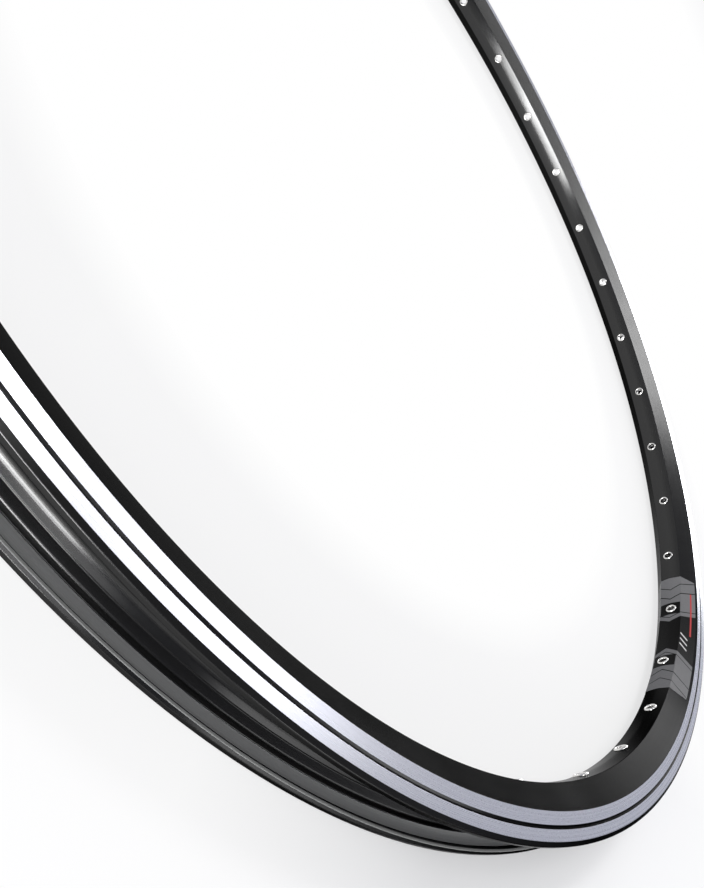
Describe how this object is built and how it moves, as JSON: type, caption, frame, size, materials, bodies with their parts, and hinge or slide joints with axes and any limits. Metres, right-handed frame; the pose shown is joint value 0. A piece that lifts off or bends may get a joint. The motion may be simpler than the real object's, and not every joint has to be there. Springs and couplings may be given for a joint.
{
  "type": "bicycle rim",
  "caption": "Double-walled bicycle rim with machined brake tracks, hooked flanges, eyeletted spoke holes, a valve hole and a label over its joint.",
  "frame": {"origin": "centre of the rim, on the wheel axis at the mid-plane", "axes": "+Z along the wheel axis, +X out through the valve hole"},
  "size_m": [0.6339, 0.634, 0.0252],
  "materials": {
    "black_aluminium": "gloss black, with bare machined brake tracks",
    "stainless_steel": "polished",
    "bare_aluminium": "mill finish",
    "label_film": "gloss, grey and black with a red line"
  },
  "bodies": {
    "root": {"rim_hoop": "black_aluminium", "spoke_eyelets": "stainless_steel", "joint_sleeve": "bare_aluminium", "label": "label_film"}
  },
  "joints": []
}
